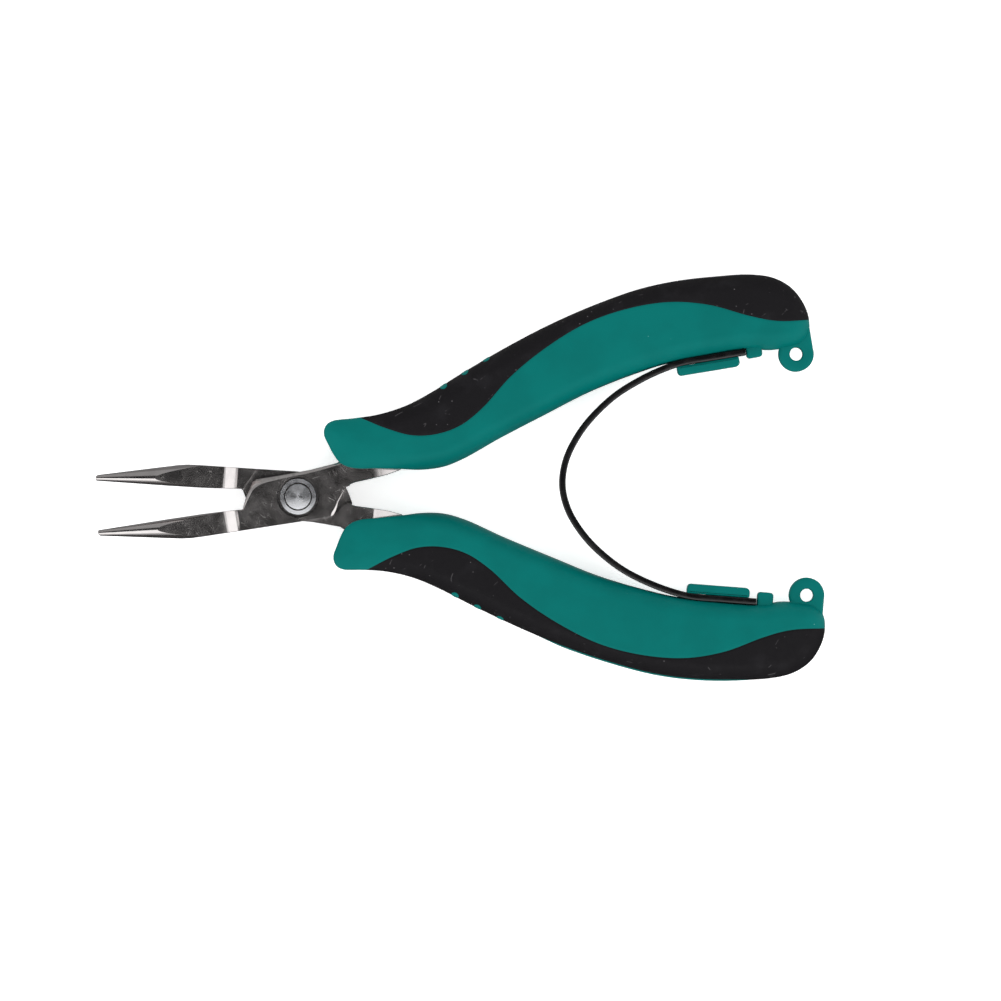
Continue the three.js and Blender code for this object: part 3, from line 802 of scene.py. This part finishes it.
def surface(kind, p):
    """Height of one kind of surface above the middle of the lever, at plan points."""
    x, y = p[:, 0], p[:, 1]
    if kind == "jaw":
        return np.full(len(p), JAW_HALF)
    if kind == "ramp":
        return ramp_height(x - FLAT_END_X, STEP_X - FLAT_END_X, JAW_HALF)
    if kind == "block":
        return np.full(len(p), BLOCK_HALF)
    if kind in RAMP_POWER:
        t = np.clip((TANG_END_X - x) / (TANG_END_X - TANG_STEP_X), 0, 1)
        return TANG_HALF + (BLOCK_HALF - TANG_HALF) * (1 - (1 - t) ** RAMP_POWER[kind])
    if kind == "tang":
        return np.full(len(p), TANG_HALF)
    if kind == "bore":
        return np.full(len(p), BORE_Z)
    if kind in LEAN:
        off = y - cone_line(x, 0, LEAN[kind])
        width = TIP_HALF_W + (NOSE_WIDENING - LEAN[kind] * np.sign(off)) * (x - TIP_X)
        t = np.clip(off / width, -0.995, 0.995)
        return cone_rise(x) * np.sqrt(1 - t * t)
    limit = BEVELS[kind]
    d, at, side = segment_distance(p, limit[:, :2])
    fall = np.interp(at, np.arange(len(limit)), limit[:, 2])
    return BLOCK_HALF - fall * np.where(side > 0, d, 0)


def zones(p, top, rear):
    """The kind of surface at each plan point."""
    x = p[:, 0]
    kind = np.full(len(p), "block", dtype=object)
    kind[x < STEP_X] = "ramp"
    kind[x < FLAT_END_X] = "jaw"
    kind[x > TANG_STEP_X] = "soft_tang_ramp" if rear == "plain_rear" else "tang_ramp"
    kind[x > TANG_END_X] = "tang"
    nose = NOSE[rear]
    kind[(x < FLAT_END_X) & (surface(nose, p) < JAW_HALF)] = nose
    if top:
        # Each bevel counts only beside its own edge of the plate.
        side = segment_distance(p, BEVEL[:, :2])[2]
        kind[(kind == "block") & (side > 0) & (p[:, 1] > -0.9)] = "bevel"
        d, _, side = segment_distance(p, BEVELS[rear][:, :2])
        near = (side > 0) & (d < 1.2) & (x > 4.0) & (p[:, 1] < 0.4)
        kind[(kind == "block") & near] = rear
        kind[np.hypot(x, p[:, 1]) < BORE_R] = "bore"
    return kind


def densify(points, step):
    """A closed outline with points at most a step apart, or five steps inside the handle."""
    points = [np.array(p, float) for p in points]
    line = []
    for a, b in zip(points, points[1:] + points[:1]):
        n = max(1, int(np.ceil(np.linalg.norm(b - a) / (step if a[0] < 26 else 5 * step))))
        line += [a + (b - a) * k / n for k in range(n)]
    return np.array(line)


def lever_features(outline, recess, rear):
    """Every line the lever's faces meet on, seen from above: lists of points, closed or not."""
    lines = [(outline, True), (outline + mitres(outline) * BREAK, True)]
    for r, n in ((BORE_R, 72), (BORE_R + BREAK, 72), (HOLE_R, 48)):
        lines.append((np.array(arc(r, 0, 360, n + 1)[:-1]), True))
    for k in range(11):
        x = FLAT_END_X + (STEP_X - FLAT_END_X) * k / 10
        lines.append((np.array([(x, -6.0), (x, 1.0)]), False))
        x = TANG_STEP_X + (TANG_END_X - TANG_STEP_X) * k / 10
        lines.append((np.array([(x, 0.0), (x, 9.0)]), False))
    lines.append((BEVEL[:, :2], False))
    lines.append((BEVELS[rear][:, :2], False))
    lines.append((densify(recess, 0.6), True))
    lean = LEAN[NOSE[rear]]
    start = cone_reaches(JAW_HALF)
    xs = start + (FLAT_END_X - start) * np.linspace(0, 1, 28) ** 2
    root = np.sqrt(np.clip(1 - (JAW_HALF / cone_rise(xs)) ** 2, 0, 1))
    inner, outer = (np.stack([xs, cone_line(xs, side * root, lean)], 1) for side in (1, -1))
    lines.append((np.concatenate([inner[::-1], outer[1:]]), False))
    for t in np.sin(np.radians(np.linspace(-78, 78, 19))):
        end = min(cone_reaches(JAW_HALF / math.sqrt(1 - t * t)), FLAT_END_X)
        xs = np.linspace(TIP_X, end, 24)
        lines.append((np.stack([xs, cone_line(xs, t, lean)], 1), False))
    return lines


def triangulate(outline, lines):
    """The plan cut into triangles along every line, with an even filling of points between."""
    points, edges = [], []
    for line, closed in lines:
        first = len(points)
        points += [tuple(map(float, p)) for p in line]
        edges += [(k, k + 1) for k in range(first, len(points) - 1)]
        if closed:
            edges.append((len(points) - 1, first))
    for x in np.arange(-12.0, 25.0, 0.9):
        for y in np.arange(-4.4, 9.0, 0.9):
            points.append((float(x) + 0.013, float(y) + 0.007))
    found = delaunay_2d_cdt([Vector(p) for p in points], edges, [], 0, 1e-5)
    verts = np.array([tuple(v) for v in found[0]])
    tris = np.array([f for f in found[2] if len(f) == 3])
    centre = verts[tris].mean(1)
    keep = inside(centre, outline) & (np.hypot(*centre.T) > HOLE_R * 0.9995)
    tris = tris[keep]
    a, b, c = (verts[tris[:, k]] for k in range(3))
    area = (b[:, 0] - a[:, 0]) * (c[:, 1] - a[:, 1]) - (b[:, 1] - a[:, 1]) * (c[:, 0] - a[:, 0])
    tris[area < 0] = tris[area < 0][:, ::-1]
    return verts, tris[np.abs(area) > 1e-9]


def surface_normals(kind, p):
    """Unit normals of one kind of surface, from its slope."""
    h = 1e-3
    gx = surface(kind, p + [h, 0]) - surface(kind, p - [h, 0])
    gy = surface(kind, p + [0, h]) - surface(kind, p - [0, h])
    n = np.stack([-gx, -gy, np.full(len(p), 2 * h)], 1)
    return n / np.linalg.norm(n, axis=1)[:, None]


class Shell:
    """Collects faces whose corners are plan points at a height, with a normal for each corner."""

    def __init__(self, plan):
        self.plan = plan
        self.index, self.points, self.faces, self.normals = {}, [], [], []

    def corner(self, i, z):
        key = (int(i), round(float(z), 4))
        if key not in self.index:
            self.index[key] = len(self.points)
            self.points.append((*self.plan[i], float(z)))
        return self.index[key]

    def face(self, corners, normals):
        ids = [self.corner(i, z) for i, z in corners]
        kept = [k for k in range(len(ids)) if ids[k] != ids[k - 1]]
        if len({ids[k] for k in kept}) > 2:
            self.faces.append([ids[k] for k in kept])
            self.normals += [tuple(normals[k]) for k in kept]


def sheet(plan, tris, outline, recess, sign, rear):
    """Heights and normals at the corners of every triangle of the top or the underside."""
    centre = plan[tris].mean(1)
    kind = zones(centre, sign > 0, rear)
    z, n = np.zeros(tris.shape), np.zeros((*tris.shape, 3))
    hollow = inside(centre, recess) if sign < 0 else np.zeros(len(tris), bool)
    edge = segment_distance(plan, np.concatenate([outline, outline[:1]]))[0]
    lowered = np.maximum(BREAK - edge, 0)
    rim = np.hypot(*plan.T)
    lowered_rim = np.maximum(BORE_R + BREAK - rim, 0) if sign > 0 else np.zeros(len(plan))
    for name in set(kind):
        rows = np.where(kind == name)[0]
        for k in range(3):
            p = plan[tris[rows, k]]
            z[rows, k] = surface(name, p)
            n[rows, k] = surface_normals(name, p)
            if name != "bore":
                cut = lowered[tris[rows, k]]
                if name == "block" or name in BEVELS:
                    cut = np.maximum(cut, lowered_rim[tris[rows, k]])
                z[rows, k] -= np.minimum(cut, z[rows, k] * 0.6)
    # Broken edges take the slope of the face itself.
    outer = edge[tris].max(1) < BREAK * 1.02
    ring = (rim[tris].max(1) < BORE_R + BREAK * 1.02) & (kind != "bore") & (sign > 0)
    corners = np.concatenate([plan[tris], z[..., None]], 2)
    flat = np.cross(corners[:, 1] - corners[:, 0], corners[:, 2] - corners[:, 0])
    flat /= np.maximum(np.linalg.norm(flat, axis=1)[:, None], 1e-12)
    n[outer | ring] = flat[outer | ring][:, None]
    if sign < 0:
        z, n = -z, n * [1, 1, -1]
        z[hollow] = LAP_GAP
        n[hollow] = [0, 0, -1]
    return z, n


def lever_mesh(rear, recess, rear_kind):
    """The closed skin of a lever: top, underside, outer walls, and a wall at every step."""
    outline = densify(
        JAW_INNER + PLATE_FRONT + PLATE_TOP + TANG_OUTER + TANG_INNER + rear[::-1] + JAW_OUTER, 0.7
    )[::-1]
    recess = np.array(RECESS_FRONT + recess)
    plan, tris = triangulate(outline, lever_features(outline, recess, rear_kind))
    shell = Shell(plan)
    sheets, meets, levels = {}, {}, {}
    for sign in (1, -1):
        z, n = sheet(plan, tris, outline, recess, sign, rear_kind)
        sheets[sign] = z
        for t in range(len(tris)):
            order = (0, 1, 2) if sign > 0 else (2, 1, 0)
            shell.face([(tris[t, k], z[t, k]) for k in order], [n[t, k] for k in order])
            for k in range(3):
                levels.setdefault(int(tris[t, k]), set()).add(round(float(z[t, k]), 4))

    def upright(i, start, stop):
        """One upright side of a wall, with every level that meets it on the way."""
        low, high = sorted((start, stop))
        between = sorted(v for v in levels[int(i)] if low + 1e-3 < v < high - 1e-3)
        if start > stop:
            between.reverse()
        return [(i, start), *((i, v) for v in between), (i, stop)]

    for t, tri in enumerate(tris):
        for k in range(3):
            meets.setdefault(tuple(sorted((int(tri[k]), int(tri[(k + 1) % 3])))), []).append((t, k))
    for (t, k), *others in meets.values():
        a, b = k, (k + 1) % 3
        i, j = tris[t, a], tris[t, b]
        run = plan[j] - plan[i]
        out = np.array([run[1], -run[0], 0]) / max(np.linalg.norm(run), 1e-12)
        if not others:
            top, low = sheets[1][t], sheets[-1][t]
            wall = upright(i, top[a], low[a]) + upright(j, low[b], top[b])
            shell.face(wall, [out] * len(wall))
            continue
        t2 = others[0][0]
        other = {int(tris[t2, m]): m for m in range(3)}
        a2, b2 = other[int(i)], other[int(j)]
        for sign in (1, -1):
            z, z2 = sheets[sign][t], sheets[sign][t2]
            gap = (z[a] - z2[a2] + z[b] - z2[b2]) / 2
            if abs(gap) < 1e-3:
                continue
            facing = out if gap * sign > 0 else -out
            wall = upright(i, z[a], z2[a2]) + upright(j, z2[b2], z[b])
            shell.face(wall[::sign], [facing] * len(wall))
    return shell


def finished_lever(node, rear, recess, rear_kind, lower, body):
    """A lever with the normals that its faces were given."""
    shell = lever_mesh(rear, recess, rear_kind)
    matrix = arm_matrix(lower)
    turn = matrix.to_3x3() * (1 / MM)
    mesh = bpy.data.meshes.new(f"{node}_finished")
    mesh.from_pydata([tuple(matrix @ Vector(p)) for p in shell.points], [], shell.faces)
    mesh.materials.append(STEEL)
    mesh.shade_smooth()
    mesh.normals_split_custom_set([tuple(turn @ Vector(n)) for n in shell.normals])
    obj = add_object(f"{node}_finished", mesh)
    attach(obj, body)
    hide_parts(node)


finished_lever("jaw_lever_a", PLAIN_REAR, RECESS_HEEL, "plain_rear", False, UPPER)
finished_lever("jaw_lever_b", HEEL_REAR, RECESS_PLAIN, "heel_rear", True, LOWER)


# ---- pivot ---------------------------------------------------------------------------
def turned(node, profile):
    """A body of revolution about the pivot, from (radius, height) pairs in millimetres."""
    rings = []
    for a in np.linspace(0, 2 * math.pi, 128, endpoint=False):
        rings.append([(r * math.cos(a), r * math.sin(a), z) for r, z in profile])
    matrix = Matrix.Translation(PIVOT) @ Matrix.Scale(MM, 4)
    obj = mesh_object(f"{node}_turned", loft(rings, along=True), TURNED, matrix, angle=8)
    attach(obj, UPPER)
    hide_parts(node)


def pivot():
    """The rivet with a faintly domed head at each end, and the ring round each head."""
    top = (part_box("pivot_rivet")[1].z - PIVOT.z) / MM
    seat, shank = 2.7, 1.8
    dome = [(r, top - 0.02 - 0.09 * (r / HEAD_R) ** 2) for r in np.linspace(0, HEAD_R - 0.05, 14)]
    edge = [(HEAD_R - 0.02, top - 0.115), (HEAD_R, top - 0.14), (HEAD_R, top - 0.5)]
    upper = dome + edge + [(HEAD_R, seat), (shank, seat)]
    profile = upper + [(r, -z) for r, z in upper[::-1]]
    turned("pivot_rivet", profile)
    ring = [
        (RING_INNER, seat), (RING_OUTER, seat), (RING_OUTER, BLOCK_HALF - 0.02),
        (RING_OUTER - 0.01, BLOCK_HALF + 0.16), (RING_OUTER - 0.04, BLOCK_HALF + 0.18),
        (RING_INNER + 0.03, BLOCK_HALF + 0.22), (RING_INNER + 0.01, BLOCK_HALF + 0.21),
        (RING_INNER, BLOCK_HALF + 0.18),
    ]
    turned("pivot_bush_front", ring)
    turned("pivot_bush_rear", [(r, -z) for r, z in ring[::-1]])


pivot()


# ---- leaf spring ---------------------------------------------------------------------
def leaf_spring():
    """The bow strip, open position, with rounded strip edges."""
    c, s = math.cos(OPEN_HALF), math.sin(OPEN_HALF)

    def seat(x):
        return (x * c - SEAT_Y * s, x * s + SEAT_Y * c)

    upper = [
        (48.5, 0), (49.3, 4.4), (51.5, 8.6), (54.35, 12.1), (58.9, 16.0), (64.2, 18.95),
        (69.0, 20.85), seat(74), seat(79), seat(85.2),
    ]
    line = smooth_line([(x, -y) for x, y in upper[:0:-1]] + upper, per=10)
    tangent = np.gradient(line, axis=0)
    tangent /= np.linalg.norm(tangent, axis=1)[:, None]
    across = np.stack([-tangent[:, 1], tangent[:, 0]], 1)
    h, w, r = SPRING_T / 2, SPRING_HALF_W, 0.22
    profile = []
    for sx, sz, start in ((1, 1, 0), (-1, 1, 90), (-1, -1, 180), (1, -1, 270)):
        for a in np.radians(np.linspace(start, start + 90, 5)):
            profile.append((sx * (h - r) + r * math.cos(a), sz * (w - r) + r * math.sin(a)))
    rings = [[(*(p + n * u), z) for u, z in profile] for p, n in zip(line, across)]
    matrix = Matrix.Translation(PIVOT) @ Matrix.Scale(MM, 4)
    obj = mesh_object("leaf_spring_bow", loft(rings, caps=True), SPRING, matrix)
    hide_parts("leaf_spring")
    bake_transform(obj)


leaf_spring()


# ---- studio --------------------------------------------------------------------------
def pale_floor(half, drop):
    """A pale matt table under the tool, faintly lit from within so that shadows stay pale."""
    s = Shader("stage_white", (0.94, 0.94, 0.94), 0.0, 0.8)
    s.set("Roughness", s.ramp(s.noise(0.05, detail=3), 0.3, 0.7, 0.77, 0.83))
    s.bsdf.inputs["Emission Color"].default_value = (1, 1, 1, 1)
    s.bsdf.inputs["Emission Strength"].default_value = 0.5
    s.material.cycles.emission_sampling = "NONE"
    mesh = bpy.data.meshes.new("floor")
    corners = ((-half, -half), (half, -half), (half, half), (-half, half))
    mesh.from_pydata([(x, y, -drop) for x, y in corners], [], [(0, 1, 2, 3)])
    mesh.materials.append(s.material)
    obj = add_object("floor", mesh)
    obj.visible_glossy = False


def studio_world(even, bright, side, dark):
    """Even soft light, a little stronger from -Y. Gloss sees a white room instead, with a dark
    card overhead, a dim side at +Y and darkness low down."""
    world = bpy.data.worlds.new("studio")
    bpy.context.scene.world = world
    world.use_nodes = True
    g = Graph(world.node_tree)
    back = world.node_tree.nodes["Background"]
    back.inputs["Color"].default_value = (1, 1, 1, 1)
    split = g.node("ShaderNodeSeparateXYZ")
    g.link(g.node("ShaderNodeTexCoord").outputs["Generated"], split.inputs[0])
    x, y, z = split.outputs
    up = g.math("MAXIMUM", z, 0.001)
    ux, uy = g.math("DIVIDE", x, up), g.math("DIVIDE", y, up)
    # The card's soft edges: how far out a direction runs for each step up.
    card = g.ramp(g.math("ABSOLUTE", ux), 0.56, 0.8, 1.0, 0.0)
    card = g.math("MULTIPLY", card, g.ramp(uy, -0.2, -0.06))
    card = g.math("MULTIPLY", card, g.ramp(uy, 0.45, 0.7, 1.0, 0.0))
    room = g.ramp(y, 0.1, 0.5, bright, side)
    room = g.math("MULTIPLY", room, g.math("SUBTRACT", 1.0, card))
    room = g.math("ADD", room, g.math("MULTIPLY", card, dark))
    room = g.math("MULTIPLY", room, g.ramp(uy, -2.8, -1.3, 0.28, 1.0))
    under = g.ramp(y, -0.1, 0.3, 0.14, 0.6)
    above = g.ramp(z, -0.03, 0.02)
    lit = g.math("ADD", above, g.math("MULTIPLY", under, g.math("SUBTRACT", 1.0, above)))
    room = g.math("MULTIPLY", room, lit)
    mirrored = g.node("ShaderNodeLightPath").outputs["Is Glossy Ray"]
    soft = g.ramp(y, -1, 1, 1.22 * even, 0.78 * even)
    soft = g.math("MULTIPLY", g.math("SUBTRACT", 1.0, mirrored), soft)
    g.link(g.math("ADD", soft, g.math("MULTIPLY", mirrored, room)), back.inputs["Strength"])
    world.cycles.sampling_method = "NONE"


pale_floor(half=3, drop=0.0002)
studio_world(even=1.4, bright=1.8, side=0.45, dark=0.026)

bpy.context.scene.view_settings.view_transform = "Standard"

# ---- camera --------------------------------------------------------------------------
TILT = math.radians(2.5)              # the tool lies turned this far in the picture
VIEW_W = 183.9 * MM                   # width of the picture at the tool
AIM_X, AIM_Y = 0.03702, -0.00233      # middle of the picture, from the pivot
DISTANCE = 1.3                        # height of the camera over the pivot
SENSOR_W = 36
camera_data = bpy.data.cameras.new("camera")
camera = add_object("camera", camera_data)
camera_data.sensor_width = SENSOR_W
camera_data.lens = SENSOR_W * DISTANCE / VIEW_W
camera_data.clip_end = 20
camera.location = (PIVOT.x + AIM_X, PIVOT.y + AIM_Y, PIVOT.z + DISTANCE)
camera.rotation_euler = (0, 0, -TILT)
bpy.context.scene.camera = camera
